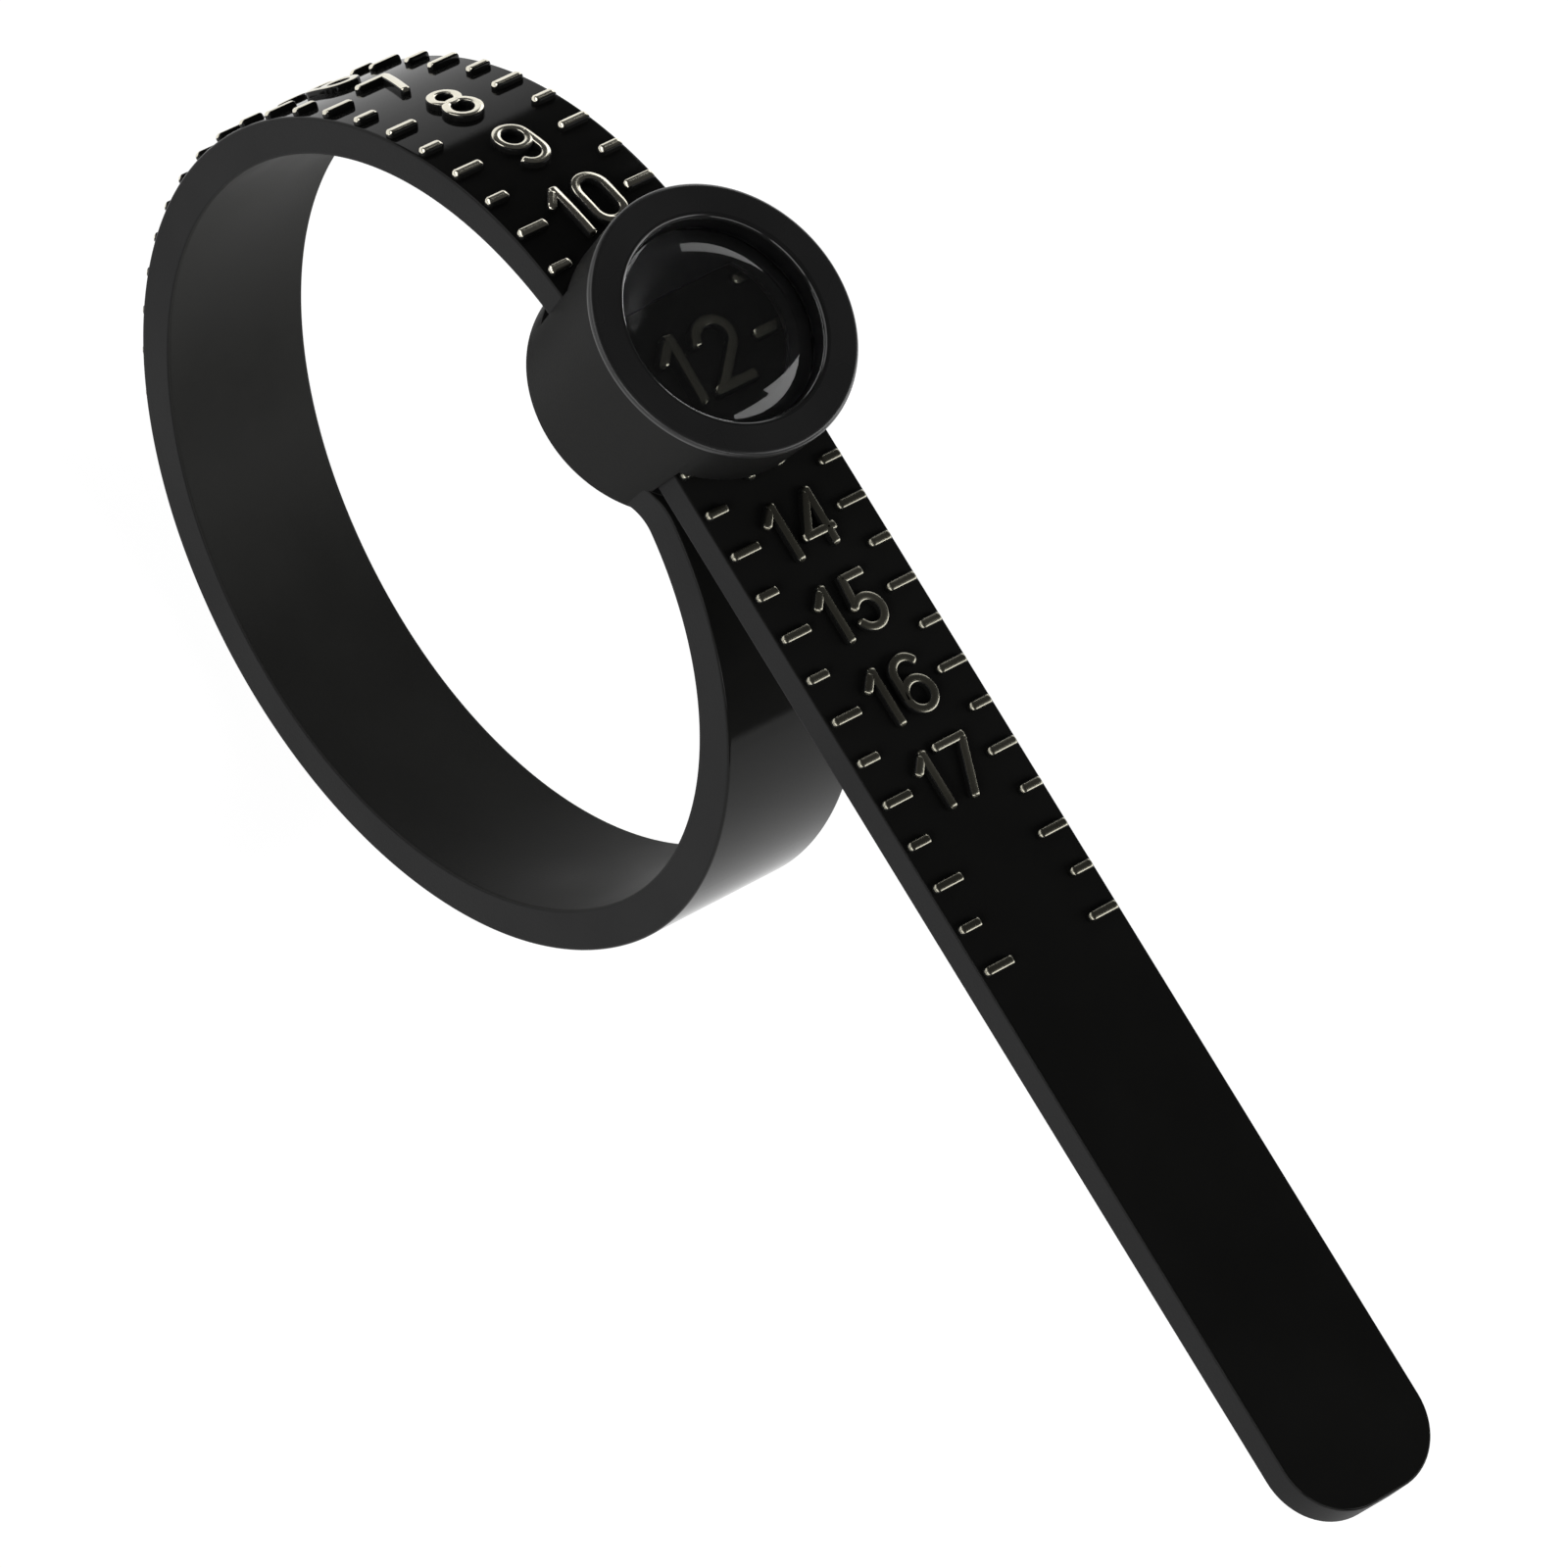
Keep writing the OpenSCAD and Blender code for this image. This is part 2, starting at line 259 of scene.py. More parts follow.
def add_strap(bm, uv, start, end):
    """Adds a length of strap to a mesh, with closed ends."""
    rows = []
    for along in stations(start, end):
        places = cross_section(along)
        rows.append((places, [bm.verts.new(on_strap(*place)) for place in places]))
    n = len(rows[0][0])
    for (pa, a), (pb, b) in zip(rows, rows[1:]):
        for k in range(n):
            m = (k + 1) % n
            face = bm.faces.new((a[k], b[k], b[m], a[m]))
            face.smooth = True
            face.material_index = surface_of(pa[k], pa[m], thickness(pa[0][0]))
            for loop, p in zip(face.loops, (pa[k], pb[k], pb[m], pa[m])):
                loop[uv].uv = strap_uv(p)
    add_cut(bm, uv, *rows[0])
    close_end = add_tip if end == along_of_x(TAIL_END) else add_cut
    close_end(bm, uv, *rows[-1])


def add_cut(bm, uv, places, ring):
    """Closes a piece of strap with a flat face."""
    face = bm.faces.new(ring)
    face.material_index = SIDE_FACE
    for edge in face.edges:
        edge.smooth = False
    for loop, p in zip(face.loops, places):
        loop[uv].uv = (p[1] / UV_TILE, p[2] / UV_TILE)


def add_tip(bm, uv, places, ring):
    """Closes the end of the tail between its rounded corners, with rounded edges like those of the sides."""
    rows = len(ring) // 2 - 2
    for k in range(rows - 1):
        corners = [k, k + 1, 2 * rows - k, 2 * rows + 1 - k]
        if k == 0:
            corners += [2 * rows + 2, 2 * rows + 3]
        if k == rows - 2:
            corners[2:2] = [rows, rows + 1]
        face = bm.faces.new([ring[c] for c in corners])
        face.smooth = True
        face.material_index = surface_of(places[k], places[k + 1], TAIL_T)
        for loop, c in zip(face.loops, corners):
            loop[uv].uv = strap_uv(places[c])


# ---------------------------------------------------------------- marks and numerals
# Half a stroke's cross-section from its foot up to its crowned top: share of its half width, and height. The
# scale's print starts at the point with the number PRINTED_FROM.
STROKE_PROFILE = [(1.0, -SUNK), (1.0, MARK_H * 0.6), (0.975, MARK_H * 0.74), (0.9, MARK_H * 0.82),
                  (0.8, MARK_H * 0.876), (0.6, MARK_H * 0.9315), (0.4, MARK_H * 0.97), (0.2, MARK_H * 0.9925)]
PRINTED_FROM = 4
CORNER_R = 0.1
STROKE_STEP = 0.09
ARC_STEP = 9
SHARPEST_BEND = 0.62
END_DROP = 0.5
END_TURNS = (0, 30, 60, 90)


def arc(cx, cy, r, start, end):
    """Points on an arc between two turns in degrees."""
    count = max(4, round(abs(end - start) / ARC_STEP))
    turns = [start + (end - start) * k / count for k in range(count + 1)]
    return [(cx + r * cos(turn), cy + r * sin(turn)) for turn in turns]


def figure(n):
    """The strokes of one figure as middle lines, drawn upright with its lower left corner at the origin."""
    e = STROKE / 2
    w, h = DIGIT_W, DIGIT_H
    r = w / 2 - e
    six = [arc(w / 2, w / 2, r, 0, 360), arc(w / 2, h - w / 2, r, 35, 180) + [(e, w / 2)]]
    return {
        0: [arc(w / 2, h - w / 2, r, 0, 180) + arc(w / 2, w / 2, r, 180, 360) + [(w - e, h - w / 2)]],
        1: [[(ONE_W - e, e), (ONE_W - e, h - e)], [(ONE_W - 0.26, h - 0.24), (e + 0.05, h - 0.52)]],
        2: [arc(w / 2, h - w / 2, r, 165, -38) + [(e + 0.12, e + 0.1)], [(e, e), (w - e, e)]],
        3: [arc(w / 2, h - 0.52, 0.52 - e, 150, -90), arc(w / 2, w / 2, r, 90, -150)],
        4: [[(0.85, e), (0.85, h - e)], [(0.76, h - 0.24), (e + 0.06, 0.6)], [(e, 0.52), (w - e, 0.52)]],
        5: [[(w - e - 0.05, h - e), (0.36, h - e)], [(0.34, h - e), (0.27, 0.95)],
            arc(w / 2, w / 2, r, 140, -150)],
        6: six,
        7: [[(e, h - e), (w - e, h - e)], [(w - e - 0.04, h - e - 0.1), (0.42, e)]],
        8: [arc(w / 2, w / 2, r, 0, 360), arc(w / 2, h - 0.5, 0.5 - e, 0, 360)],
        9: [[(w - x, h - y) for x, y in line] for line in six],
    }[n]


def numeral(n):
    """The strokes of a numeral of one or two figures, centred on the origin."""
    figures = [int(c) for c in str(n)]
    widths = [ONE_W if f == 1 else DIGIT_W for f in figures]
    x = -(sum(widths) + DIGIT_GAP * (len(figures) - 1)) / 2
    strokes = []
    for f, w in zip(figures, widths):
        strokes += [[(px + x, py - DIGIT_H / 2) for px, py in line] for line in figure(f)]
        x += w + DIGIT_GAP
    return strokes


def resample(line):
    """The same line with points at most STROKE_STEP apart."""
    points = [Vector(line[0])]
    for a, b in zip(line, line[1:]):
        a, b = Vector(a), Vector(b)
        count = max(1, math.ceil((b - a).length / STROKE_STEP))
        points += [a.lerp(b, k / count) for k in range(1, count + 1)]
    return [p for k, p in enumerate(points) if k == 0 or (p - points[k - 1]).length > 1e-5]


def stroke_end(row, sign, width):
    """The cross-sections that round off one end of a stroke, from the inside out."""
    p, along = row[:2]
    reach = width / 2 - CORNER_R
    rows = []
    for a in END_TURNS:
        out = reach + CORNER_R * sin(a)
        narrow = (reach + CORNER_R * cos(a)) / (width / 2)
        rows.append((p + along * out * sign, along, 1, narrow, 1 - END_DROP * sin(a) ** 2))
    return rows


def stroke_rows(line, width):
    """Where a stroke gets a cross-section, and whether the stroke is closed.

    A cross-section is its place and direction, its widening at a bend, and its narrowing and height at
    an end.
    """
    closed = (Vector(line[0]) - Vector(line[-1])).length < 1e-4
    points = resample(line)
    if closed:
        points = points[:-1]
    count = len(points)
    rows = []
    for k, p in enumerate(points):
        before = (p - points[k - 1]).normalized() if closed or k else None
        after = (points[(k + 1) % count] - p).normalized() if closed or k < count - 1 else None
        along = ((before or after) + (after or before)).normalized()
        bend = max(along.dot(after or before), SHARPEST_BEND)
        rows.append((p, along, 1 / bend, 1.0, 1.0))
    if not closed:
        rows = stroke_end(rows[0], -1, width)[::-1] + rows + stroke_end(rows[-1], 1, width)
    return rows, closed


def add_stroke(bm, uv, line, place, width=STROKE):
    """Adds one raised stroke with a printed top; place turns (x, y, height) into a point on the strap."""
    rows, closed = stroke_rows(line, width)
    profile = [(-x, z) for x, z in STROKE_PROFILE] + STROKE_PROFILE[::-1]
    printed = range(PRINTED_FROM, len(profile) - 1 - PRINTED_FROM)
    made = []
    for p, along, widen, narrow, low in rows:
        across = Vector((-along.y, along.x)) * width / 2 * widen * narrow
        spots = [p + across * x for x, _ in profile]
        heights = [z * low if z > 0 else z for _, z in profile]
        made.append([(bm.verts.new(place(q.x, q.y, z)), q) for q, z in zip(spots, heights)])
    for a, b in list(zip(made, made[1:])) + ([(made[-1], made[0])] if closed else []):
        for k in range(len(profile) - 1):
            face = bm.faces.new((a[k][0], b[k][0], b[k + 1][0], a[k + 1][0]))
            face.material_index = RAISED if k in printed else MARKED_FACE
            face.smooth = True
            for loop, q in zip(face.loops, (a[k][1], b[k][1], b[k + 1][1], a[k + 1][1])):
                loop[uv].uv = (q.x / UV_TILE, q.y / UV_TILE)
    if not closed:
        for row in (made[0], made[-1]):
            face = bm.faces.new([v for v, _ in row])
            face.material_index = MARKED_FACE


def on_face(centre):
    """The function that turns (x, y, height) about a place along the strap into a point on its face."""
    def place(x, y, up):
        along = centre - y
        return on_strap(along, x, thickness(along) / 2 + up)
    return place


def add_mark(bm, uv, size, side):
    """Adds one mark at the strap's edge."""
    centre = along_of_size(size)
    length = MARK_LONG if size == int(size) else MARK_SHORT
    outer = half_width(centre) - MARK_GAP
    line = [(side * (outer - MARK_W / 2), 0), (side * (outer - length + MARK_W / 2), 0)]
    add_stroke(bm, uv, line, on_face(centre), MARK_W)


def add_scale(bm, uv, start, end):
    """Adds the marks and numerals whose middles lie on a length of strap."""
    for k in range(2 * FIRST_SIZE, 2 * LAST_SIZE + 1):
        size = k / 2
        centre = along_of_size(size)
        if not start <= centre < end:
            continue
        for side in (-1, 1):
            add_mark(bm, uv, size, side)
        if size == int(size) and size <= LAST_NUMERAL:
            for line in numeral(int(size)):
                add_stroke(bm, uv, line, on_face(centre))


def finish_mesh(bm, name, materials):
    """Turns a bmesh into an object with outward normals and its materials."""
    bmesh.ops.recalc_face_normals(bm, faces=bm.faces)
    mesh = bpy.data.meshes.new(name)
    bm.to_mesh(mesh)
    bm.free()
    obj = bpy.data.objects.new(name, mesh)
    bpy.context.scene.collection.objects.link(obj)
    for material in materials:
        mesh.materials.append(material)
    return obj


# ---------------------------------------------------------------- the strap's pieces
LOOP_JOINTS, TAIL_JOINTS = 10, 3
HINGE_SEARCH_STEP = 0.02
ROOT_OVERLAP = 0.05                 # how far the strap's root starts inside the head
SCALE_TO_HINGE = 2.5                # from the end of the tail's marked piece to its first joint


def strap_piece(name, start, end):
    """A length of strap with its marks; from the splice on, the print takes a darker copy of its material,
    which paints shade onto the tail's marks.
    """
    bm = bmesh.new()
    uv = bm.loops.layers.uv.new("strap")
    add_strap(bm, uv, start, end)
    add_scale(bm, uv, start, end)
    # The tail's pieces get the print's darker copy: painted shade on their marks.
    printed = SCALE_PAINTED_SHADE if end > SPLICE else SCALE_BRIGHT
    obj = finish_mesh(bm, name, (STRAP_FACE, STRAP_SIDE, STRAP_INNER, printed))
    return obj


def joint(name):
    """A joint of the CAD model."""
    return next(j for j in frame["record"]["behaviour"]["joints"] if j["name"] == name)


def nearest(places, j):
    """The one of several places along the strap that is nearest to a joint."""
    pos = Vector(j["pos_m"])
    return min(places, key=lambda along: (on_strap(along, 0, 0) - pos).length)


def bend_piece(obj):
    """Bakes a strap piece's placement into its mesh."""
    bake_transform(obj)


def midways(places):
    """The places midway between neighbouring places."""
    return [(a + b) / 2 for a, b in zip(places, places[1:])]


def build_loop():
    """The loop: one piece over each joint, from the middle of one link to the middle of the next."""
    names = [f"loop_bend_{k + 1:02d}" for k in range(LOOP_JOINTS)]
    places = [k * HINGE_SEARCH_STEP for k in range(int(LOOP_LENGTH / HINGE_SEARCH_STEP))]
    hinges = [nearest(places, joint(name)) for name in names]
    cuts = [NECK_END - FLARE - ROOT_OVERLAP] + midways(hinges) + [SPLICE]
    for k, name in enumerate(names):
        obj = strap_piece(f"loop_strap_{k + 1:02d}", cuts[k], cuts[k + 1])
        bend_piece(obj)
        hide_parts(f"loop_link_{k + 1:02d}")


def build_tail():
    """The tail: its marked length, and three pieces that lie over the tail's joints."""
    names = [f"tail_bend_{k + 1:02d}" for k in range(TAIL_JOINTS)]
    hinges = [along_of_x(joint(name)["pos_m"][0] / MM) for name in names]
    first = hinges[0] - SCALE_TO_HINGE
    scale = strap_piece("tail_marked_strap", SPLICE, first)
    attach(scale, "tail_scale")
    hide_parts("tail_scale")
    cuts = [first] + midways(hinges) + [along_of_x(TAIL_END)]
    for k, node in enumerate(("tail_link_01", "tail_link_02", "tail_tip")):
        obj = strap_piece(f"tail_strap_{k + 1:02d}", cuts[k], cuts[k + 1])
        bend_piece(obj)
        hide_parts(node)


# ---------------------------------------------------------------- head and lens
WALL, RIM, INSIDE, SOCKET, LIP = range(5)
LATHE_SEGMENTS = 160
FOOT_ROUND, LIP_ROUND, HEAD_SOFTEN = 0.08, 0.14, 0.05
FOOT_FLAT = 0.1                     # how far in the foot's flat underside ends
RIM_FLAT, RIM_LEAN = 0.05, 0.01     # height and lean of the rim's upright band
EDGE_FLAT = 0.02                    # width of the flat ring beside a rounded edge of the head's top
LIP_TURN = 165
SEAT_DROP = 0.03                    # keeps the seat clear of the lens, so that no two faces coincide
PAST_LEDGE = 0.3
WINDOW_PARTS = 48
LENS_PARTS = 24
LENS_CHAMFER, LENS_BRIM = 0.05, 0.02


def lathe(name, profile, materials):
    """A turned solid from a profile of (r, z, material) points that starts and ends on the axis."""
    bm = bmesh.new()
    uv = bm.loops.layers.uv.new("strap")
    turns = [360 * k / LATHE_SEGMENTS for k in range(LATHE_SEGMENTS)]
    rings = []
    for r, z, _ in profile:
        if r < 1e-6:
            rings.append([bm.verts.new((0, 0, z * MM))])
        else:
            rings.append([bm.verts.new((r * cos(turn) * MM, r * sin(turn) * MM, z * MM)) for turn in turns])
    for (a, b), (_, _, material) in zip(zip(rings, rings[1:]), profile):
        for k in range(LATHE_SEGMENTS):
            m = (k + 1) % LATHE_SEGMENTS
            corners = [a[k % len(a)], a[m % len(a)], b[m % len(b)], b[k % len(b)]]
            corners = [v for i, v in enumerate(corners) if v not in corners[:i]]
            face = bm.faces.new(corners)
            face.material_index = material
            face.smooth = True
    return finish_mesh(bm, name, materials)


def rounded(cx, cz, r, start, end, material, parts=6):
    """Points on a rounded edge of a lathe profile."""
    turns = [start + (end - start) * k / parts for k in range(parts + 1)]
    return [(cx + r * cos(turn), cz + r * sin(turn), material) for turn in turns]


def head_profile():
    """The head before its slot and window are cut: foot, wall, rim, lip and the seat of the lens."""
    seat_r = LENS_R + SEAT_GAP
    seat_z = LEDGE_Z - SEAT_DROP
    base = [(0, 0, WALL), (HEAD_BASE_R - FOOT_FLAT, 0, WALL)]
    base += rounded(HEAD_BASE_R - FOOT_ROUND, FOOT_ROUND, FOOT_ROUND, -90, 0, WALL, 4)
    top = [(HEAD_RIM_R - RIM_LEAN, HEAD_H - RIM_ROUND - RIM_FLAT, RIM)]
    top += rounded(HEAD_RIM_R - RIM_ROUND, HEAD_H - RIM_ROUND, RIM_ROUND, 0, 90, RIM, 10)
    lip = [(HEAD_RIM_R - RIM_ROUND - EDGE_FLAT, HEAD_H, RIM), (seat_r + LIP_ROUND + EDGE_FLAT, HEAD_H, LIP)]
    lip += rounded(seat_r + LIP_ROUND, HEAD_H - LIP_ROUND, LIP_ROUND, 90, LIP_TURN, LIP, 6)
    seat = [(seat_r, HEAD_H - LIP_ROUND, SOCKET), (seat_r, seat_z, SOCKET), (0, seat_z, SOCKET)]
    return base + top + lip + seat


def cutter(name, *outlines):
    """A solid between two outlines with the same number of points, to cut the head with."""
    bm = bmesh.new()
    bm.loops.layers.uv.new("strap")
    first, last = [[bm.verts.new([c * MM for c in point]) for point in outline] for outline in outlines]
    bm.faces.new(first)
    bm.faces.new(last)
    for k in range(len(first)):
        m = (k + 1) % len(first)
        bm.faces.new((first[k], first[m], last[m], last[k]))
    for face in bm.faces:
        face.material_index = INSIDE
    return finish_mesh(bm, name, HEAD_MATERIALS)


def slot_cutter():
    """The slot for the strap, which ramps down where the strap comes in."""
    half = SLOT_W / 2
    far = 2 * HEAD_RIM_R
    ramp_z = SLOT_FLOOR - RAMP_DROP * (far + RAMP_X[0]) / (RAMP_X[0] - RAMP_X[1])
    side = [(far, SLOT_FLOOR), (far, SLOT_TOP), (-far, SLOT_TOP), (-far, ramp_z), (RAMP_X[0], SLOT_FLOOR)]
    return cutter("slot_cutter", *([(x, y, z) for x, z in side] for y in (-half, half)))


def window_cutter():
    """The window under the lens, flat on the side where the strap comes in."""
    reach = math.degrees(math.acos(WINDOW_FLAT_X / WINDOW_R))
    turns = [reach * k / WINDOW_PARTS for k in range(-WINDOW_PARTS, WINDOW_PARTS + 1)]
    outline = [(WINDOW_R * cos(turn), WINDOW_R * sin(turn)) for turn in turns]
    heights = ((SLOT_FLOOR + SLOT_TOP) / 2, LEDGE_Z + PAST_LEDGE)
    return cutter("window_cutter", *([(x, y, z) for x, y in outline] for z in heights))


def apply_modifiers(obj):
    """Makes the result of an object's modifiers its mesh."""
    bpy.context.view_layer.update()
    depsgraph = bpy.context.evaluated_depsgraph_get()
    mesh = bpy.data.meshes.new_from_object(obj.evaluated_get(depsgraph))
    obj.modifiers.clear()
    obj.data = mesh


def cut(obj, tool):
    """Cuts one mesh with another, which is then removed."""
    boolean = obj.modifiers.new("cut", "BOOLEAN")
    boolean.operation = "DIFFERENCE"
    boolean.object = tool
    boolean.solver = "EXACT"
    apply_modifiers(obj)
    bpy.data.objects.remove(tool)


def soften_edges(obj, width):
    """Rounds the sharp edges."""
    bevel = obj.modifiers.new("edges", "BEVEL")
    bevel.width = width * MM
    bevel.segments = 3
    bevel.limit_method = "ANGLE"
    bevel.angle_limit = math.radians(40)
    bevel.harden_normals = False
    normals = obj.modifiers.new("normals", "WEIGHTED_NORMAL")
    normals.keep_sharp = True
    apply_modifiers(obj)


def build_head():
    """The head, with the slot for the strap and the window under the lens."""
    head = lathe("head_shell", head_profile(), HEAD_MATERIALS)
    cut(head, slot_cutter())
    cut(head, window_cutter())
    soften_edges(head, HEAD_SOFTEN)
    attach(head, "head")
    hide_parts("housing")


def build_lens():
    """The lens: a flat underside, a straight edge and a dome."""
    dome_r = (LENS_R ** 2 + LENS_DOME ** 2) / (2 * LENS_DOME)
    top = LEDGE_Z + LENS_EDGE + LENS_DOME
    half = math.degrees(math.asin(LENS_R / dome_r))
    turns = [half * (1 - k / LENS_PARTS) for k in range(LENS_PARTS + 1)]
    profile = [(0, LEDGE_Z, 0), (LENS_R - LENS_CHAMFER, LEDGE_Z, 0), (LENS_R, LEDGE_Z + LENS_CHAMFER, 0)]
    profile += [(LENS_R, LEDGE_Z + LENS_EDGE - LENS_BRIM, 0)]
    profile += [(dome_r * sin(turn), top - dome_r * (1 - cos(turn)), 0) for turn in turns]
    lens = lathe("lens_dome", profile, (LENS_ACRYLIC,))
    lens.data.set_sharp_from_angle(angle=math.radians(30))
    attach(lens, "head")
    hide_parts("lens")


# ---------------------------------------------------------------- materials
NOISE_LOW, NOISE_HIGH = 0.3, 0.7    # the part of a noise's range that is used
PATCH_SCALE, PATCH_TINT = 260, 1.3
STREAK_SCALE, STREAK_STRETCH = 30, (0.25, 12, 1)
WIPE_SCALE, WIPE_STRETCH, WIPE_ROUGHNESS, WIPE_HEIGHT = 400, (1, 0.3, 1), 0.03, 0.0006


def new_material(name):
    """A new material with its nodes, its links and its shader."""
    material = bpy.data.materials.new(name)
    material.use_nodes = True
    nodes = material.node_tree.nodes
    return material, nodes, material.node_tree.links, nodes["Principled BSDF"]


def noise(nodes, links, coords, scale, detail, stretch=None):
    """A noise texture's value, stretched if asked."""
    texture = nodes.new("ShaderNodeTexNoise")
    texture.inputs["Scale"].default_value = scale
    texture.inputs["Detail"].default_value = detail
    if stretch:
        mapping = nodes.new("ShaderNodeMapping")
        mapping.inputs["Scale"].default_value = stretch
        links.new(coords, mapping.inputs["Vector"])
        coords = mapping.outputs["Vector"]
    links.new(coords, texture.inputs["Vector"])
    return texture.outputs["Fac"]


def spread_to(nodes, links, value, low, high):
    """A noise's value, mapped to a range."""
    node = nodes.new("ShaderNodeMapRange")
    node.inputs["From Min"].default_value = NOISE_LOW
    node.inputs["From Max"].default_value = NOISE_HIGH
    node.inputs["To Min"].default_value = low
    node.inputs["To Max"].default_value = high
    links.new(value, node.inputs["Value"])
    return node.outputs["Result"]


def bump_from(nodes, links, value, height):
    """A bump node for a noise's value, with a height in millimetres."""
    bump = nodes.new("ShaderNodeBump")
    bump.inputs["Distance"].default_value = height * MM
    links.new(value, bump.inputs["Height"])
    return bump


def plastic(name, color, roughness, grain, grain_height, specular=0.5, metallic=0.0, streak=0.0):
    """Moulded plastic: duller and glossier patches, a fine grain, and faint streaks if asked."""
    material, nodes, links, shader = new_material(name)
    coords = nodes.new("ShaderNodeTexCoord").outputs["Object"]
    patches = noise(nodes, links, coords, PATCH_SCALE, 3)
    links.new(spread_to(nodes, links, patches, *roughness), shader.inputs["Roughness"])
    mix = nodes.new("ShaderNodeMix")
    mix.data_type = "RGBA"
    mix.inputs["A"].default_value = (*color, 1)
    mix.inputs["B"].default_value = (*(c * PATCH_TINT for c in color), 1)
    links.new(spread_to(nodes, links, patches, 0, 1), mix.inputs["Factor"])
    links.new(mix.outputs["Result"], shader.inputs["Base Color"])
    bump = bump_from(nodes, links, noise(nodes, links, coords, grain, 2), grain_height)
    if streak:
        uv = nodes.new("ShaderNodeUVMap")
        uv.uv_map = "strap"
        streaks = noise(nodes, links, uv.outputs["UV"], STREAK_SCALE, 2, STREAK_STRETCH)
        links.new(bump_from(nodes, links, streaks, streak).outputs["Normal"], bump.inputs["Normal"])
    links.new(bump.outputs["Normal"], shader.inputs["Normal"])
    shader.inputs["Specular IOR Level"].default_value = specular
    shader.inputs["Metallic"].default_value = metallic
    return material


def acrylic(name):
    """Clear polished acrylic with faint wipe marks."""
    material, nodes, links, shader = new_material(name)
    coords = nodes.new("ShaderNodeTexCoord").outputs["Object"]
    shader.inputs["Base Color"].default_value = (0.97, 0.98, 0.98, 1)
    shader.inputs["Transmission Weight"].default_value = 1.0
    shader.inputs["IOR"].default_value = 1.49
    wipes = noise(nodes, links, coords, WIPE_SCALE, 3, WIPE_STRETCH)
    links.new(spread_to(nodes, links, wipes, 0.0, WIPE_ROUGHNESS), shader.inputs["Roughness"])
    bump = bump_from(nodes, links, wipes, WIPE_HEIGHT)
    links.new(bump.outputs["Normal"], shader.inputs["Normal"])
    return material


STRAP_FACE = plastic("strap_polished", (0.0135, 0.0135, 0.0128), (0.05, 0.09), 9000, 0.0004,
                     specular=0.12, streak=0.0006)
STRAP_SIDE = plastic("strap_satin", (0.0095, 0.0095, 0.0097), (0.42, 0.55), 16000, 0.003, specular=0.11)
STRAP_INNER = plastic("strap_inner", (0.03, 0.03, 0.0285), (0.42, 0.54), 16000, 0.003, specular=0.06)
SCALE_BRIGHT = plastic("scale_raised", (0.66, 0.63, 0.53), (0.12, 0.2), 12000, 0.0006, metallic=1.0)
# A darker copy of the print for the tail's marks: painted shade, where the tail faces the dark sky.
SCALE_PAINTED_SHADE = plastic("scale_painted_shade", (0.27, 0.26, 0.21), (0.2, 0.3), 12000, 0.0006, metallic=1.0)
HEAD_WALL = plastic("head_satin", (0.013, 0.013, 0.0126), (0.46, 0.56), 18000, 0.003, specular=0.05)
HEAD_RIM = plastic("head_rim", (0.025, 0.025, 0.0252), (0.26, 0.31), 12000, 0.0003)
HEAD_LIP = plastic("head_edge", (0.02, 0.02, 0.0202), (0.1, 0.16), 12000, 0.0004)
HEAD_INSIDE = plastic("head_inside", (0.012, 0.012, 0.012), (0.4, 0.5), 12000, 0.002)
LENS_SOCKET = plastic("lens_socket", (0.008, 0.008, 0.0082), (0.36, 0.46), 12000, 0.0015, specular=0.09)
HEAD_MATERIALS = (HEAD_WALL, HEAD_RIM, HEAD_INSIDE, LENS_SOCKET, HEAD_LIP)
LENS_ACRYLIC = acrylic("lens_acrylic")


# ---------------------------------------------------------------- floor, light and camera
FLOOR_R, FLOOR_GAP = 1.6, 0.0002
CEILING = 0.042


def build_floor():
    """A plain pale floor under the loop."""
    material, nodes, links, shader = new_material("floor_white")
    shader.inputs["Base Color"].default_value = (0.3, 0.3, 0.3, 1)
    shader.inputs["Roughness"].default_value = 0.9
    shader.inputs["Specular IOR Level"].default_value = 0.0
    shader.inputs["Emission Color"].default_value = (1, 1, 1, 1)
    shader.inputs["Emission Strength"].default_value = 0.95
    bm = bmesh.new()
    bmesh.ops.create_circle(bm, cap_ends=True, segments=96, radius=FLOOR_R)
    bmesh.ops.translate(bm, verts=bm.verts, vec=(0, 0, cad_box[0][2] - FLOOR_GAP))
    finish_mesh(bm, "floor", (material,))


def softbox(name, low, high, radiance, lights_matt=True):
    """A lit upright rectangle that faces the object, given by a lower and an upper corner in metres."""
    low, high = Vector(low), Vector(high)
    side = Vector((high.x - low.x, high.y - low.y, 0))
    rise = Vector((0, 0, high.z - low.z))
    normal = rise.cross(side).normalized()
    centre = (low + high) / 2
    if normal.dot(centre) > 0:
        side, normal = -side, -normal
    light = bpy.data.lights.new(name, "AREA")
    light.shape = "RECTANGLE"
    light.size = side.length
    light.size_y = rise.length
    light.energy = radiance * math.pi * side.length * rise.length
    obj = bpy.data.objects.new(name, light)
    obj.visible_diffuse = lights_matt
    bpy.context.scene.collection.objects.link(obj)
    obj.matrix_world = Matrix((side.normalized(), rise.normalized(), -normal)).transposed().to_4x4()
    obj.matrix_world.translation = centre


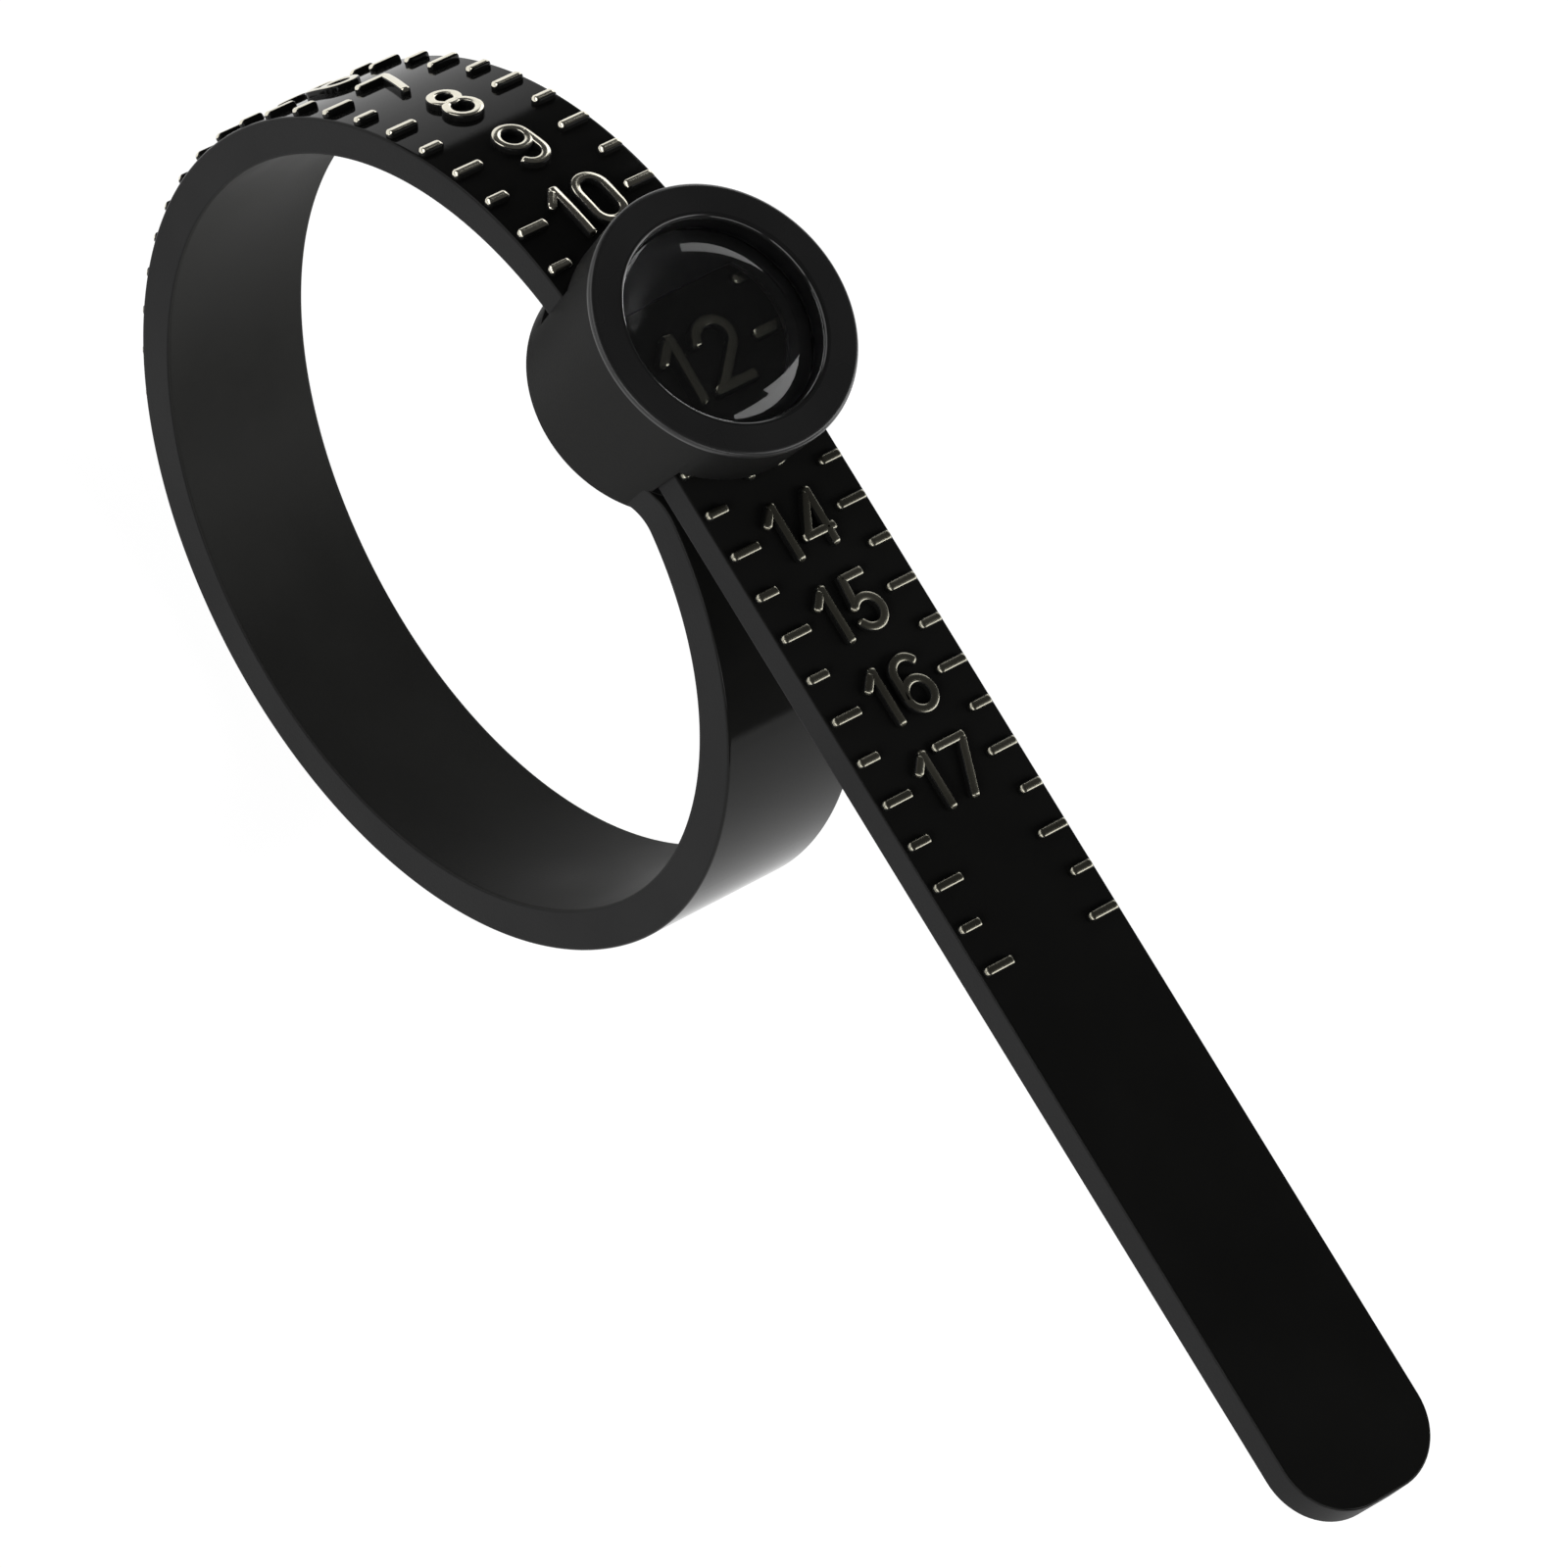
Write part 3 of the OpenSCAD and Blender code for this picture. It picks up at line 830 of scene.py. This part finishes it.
def build_world():
    """White up to just above the horizon, and dark from there."""
    world = bpy.data.worlds.new("studio")
    bpy.context.scene.world = world
    world.use_nodes = True
    nodes, links = world.node_tree.nodes, world.node_tree.links
    coords = nodes.new("ShaderNodeTexCoord")
    split = nodes.new("ShaderNodeSeparateXYZ")
    ramp = nodes.new("ShaderNodeValToRGB")
    ramp.color_ramp.elements[0].position = 0.02
    ramp.color_ramp.elements[0].color = (1, 1, 1, 1)
    ramp.color_ramp.elements[1].position = 0.05
    ramp.color_ramp.elements[1].color = (CEILING, CEILING, CEILING, 1)
    links.new(coords.outputs["Generated"], split.inputs["Vector"])
    links.new(split.outputs["Z"], ramp.inputs["Fac"])
    links.new(ramp.outputs["Color"], nodes["Background"].inputs["Color"])


def build_lights():
    """Softboxes round the object; the last two show only as reflections, as on the head's edges."""
    softbox("softbox_side_high", (0.4, 0.15, 0.235), (0.4, 0.5, 0.54), 3)
    softbox("softbox_side_far", (0.4, 0.5, 0.0), (0.4, 2.2, 0.62), 3)
    softbox("softbox_back", (-0.42, 0.37, 0.0), (-0.42, 1.7, 0.3), 1.7)
    softbox("softbox_front", (-0.05, -0.58, 0.15), (0.34, -0.47, 0.35), 3.5)
    softbox("softbox_left", (-0.46, -0.02, 0.07), (-0.1, -0.5, 0.32), 1.7, lights_matt=False)
    softbox("softbox_right", (0.36, -0.34, 0.16), (0.5, 0.02, 0.28), 3, lights_matt=False)


def build_camera():
    """The camera, rolled so that the tail runs down to the right."""
    camera = bpy.data.cameras.new("camera")
    camera.sensor_width = 36
    camera.lens = 252.18
    camera.clip_start = 0.01
    obj = bpy.data.objects.new("camera", camera)
    bpy.context.scene.collection.objects.link(obj)
    eye = Vector((42.9224, -163.88, 237.5319)) * MM
    target = Vector((10.7124, -1.3326, -2.3415)) * MM
    roll = 49.3266
    forward = (target - eye).normalized()
    level = forward.cross(Vector((0, 0, 1))).normalized()
    upright = level.cross(forward)
    up = upright * cos(roll) - level * sin(roll)
    right = forward.cross(up)
    obj.matrix_world = Matrix((right, up, -forward)).transposed().to_4x4()
    obj.matrix_world.translation = eye
    bpy.context.scene.camera = obj


build_camera()
build_world()
build_lights()
build_floor()
build_loop()
build_tail()
build_head()
build_lens()

bpy.context.scene.view_settings.view_transform = "Standard"
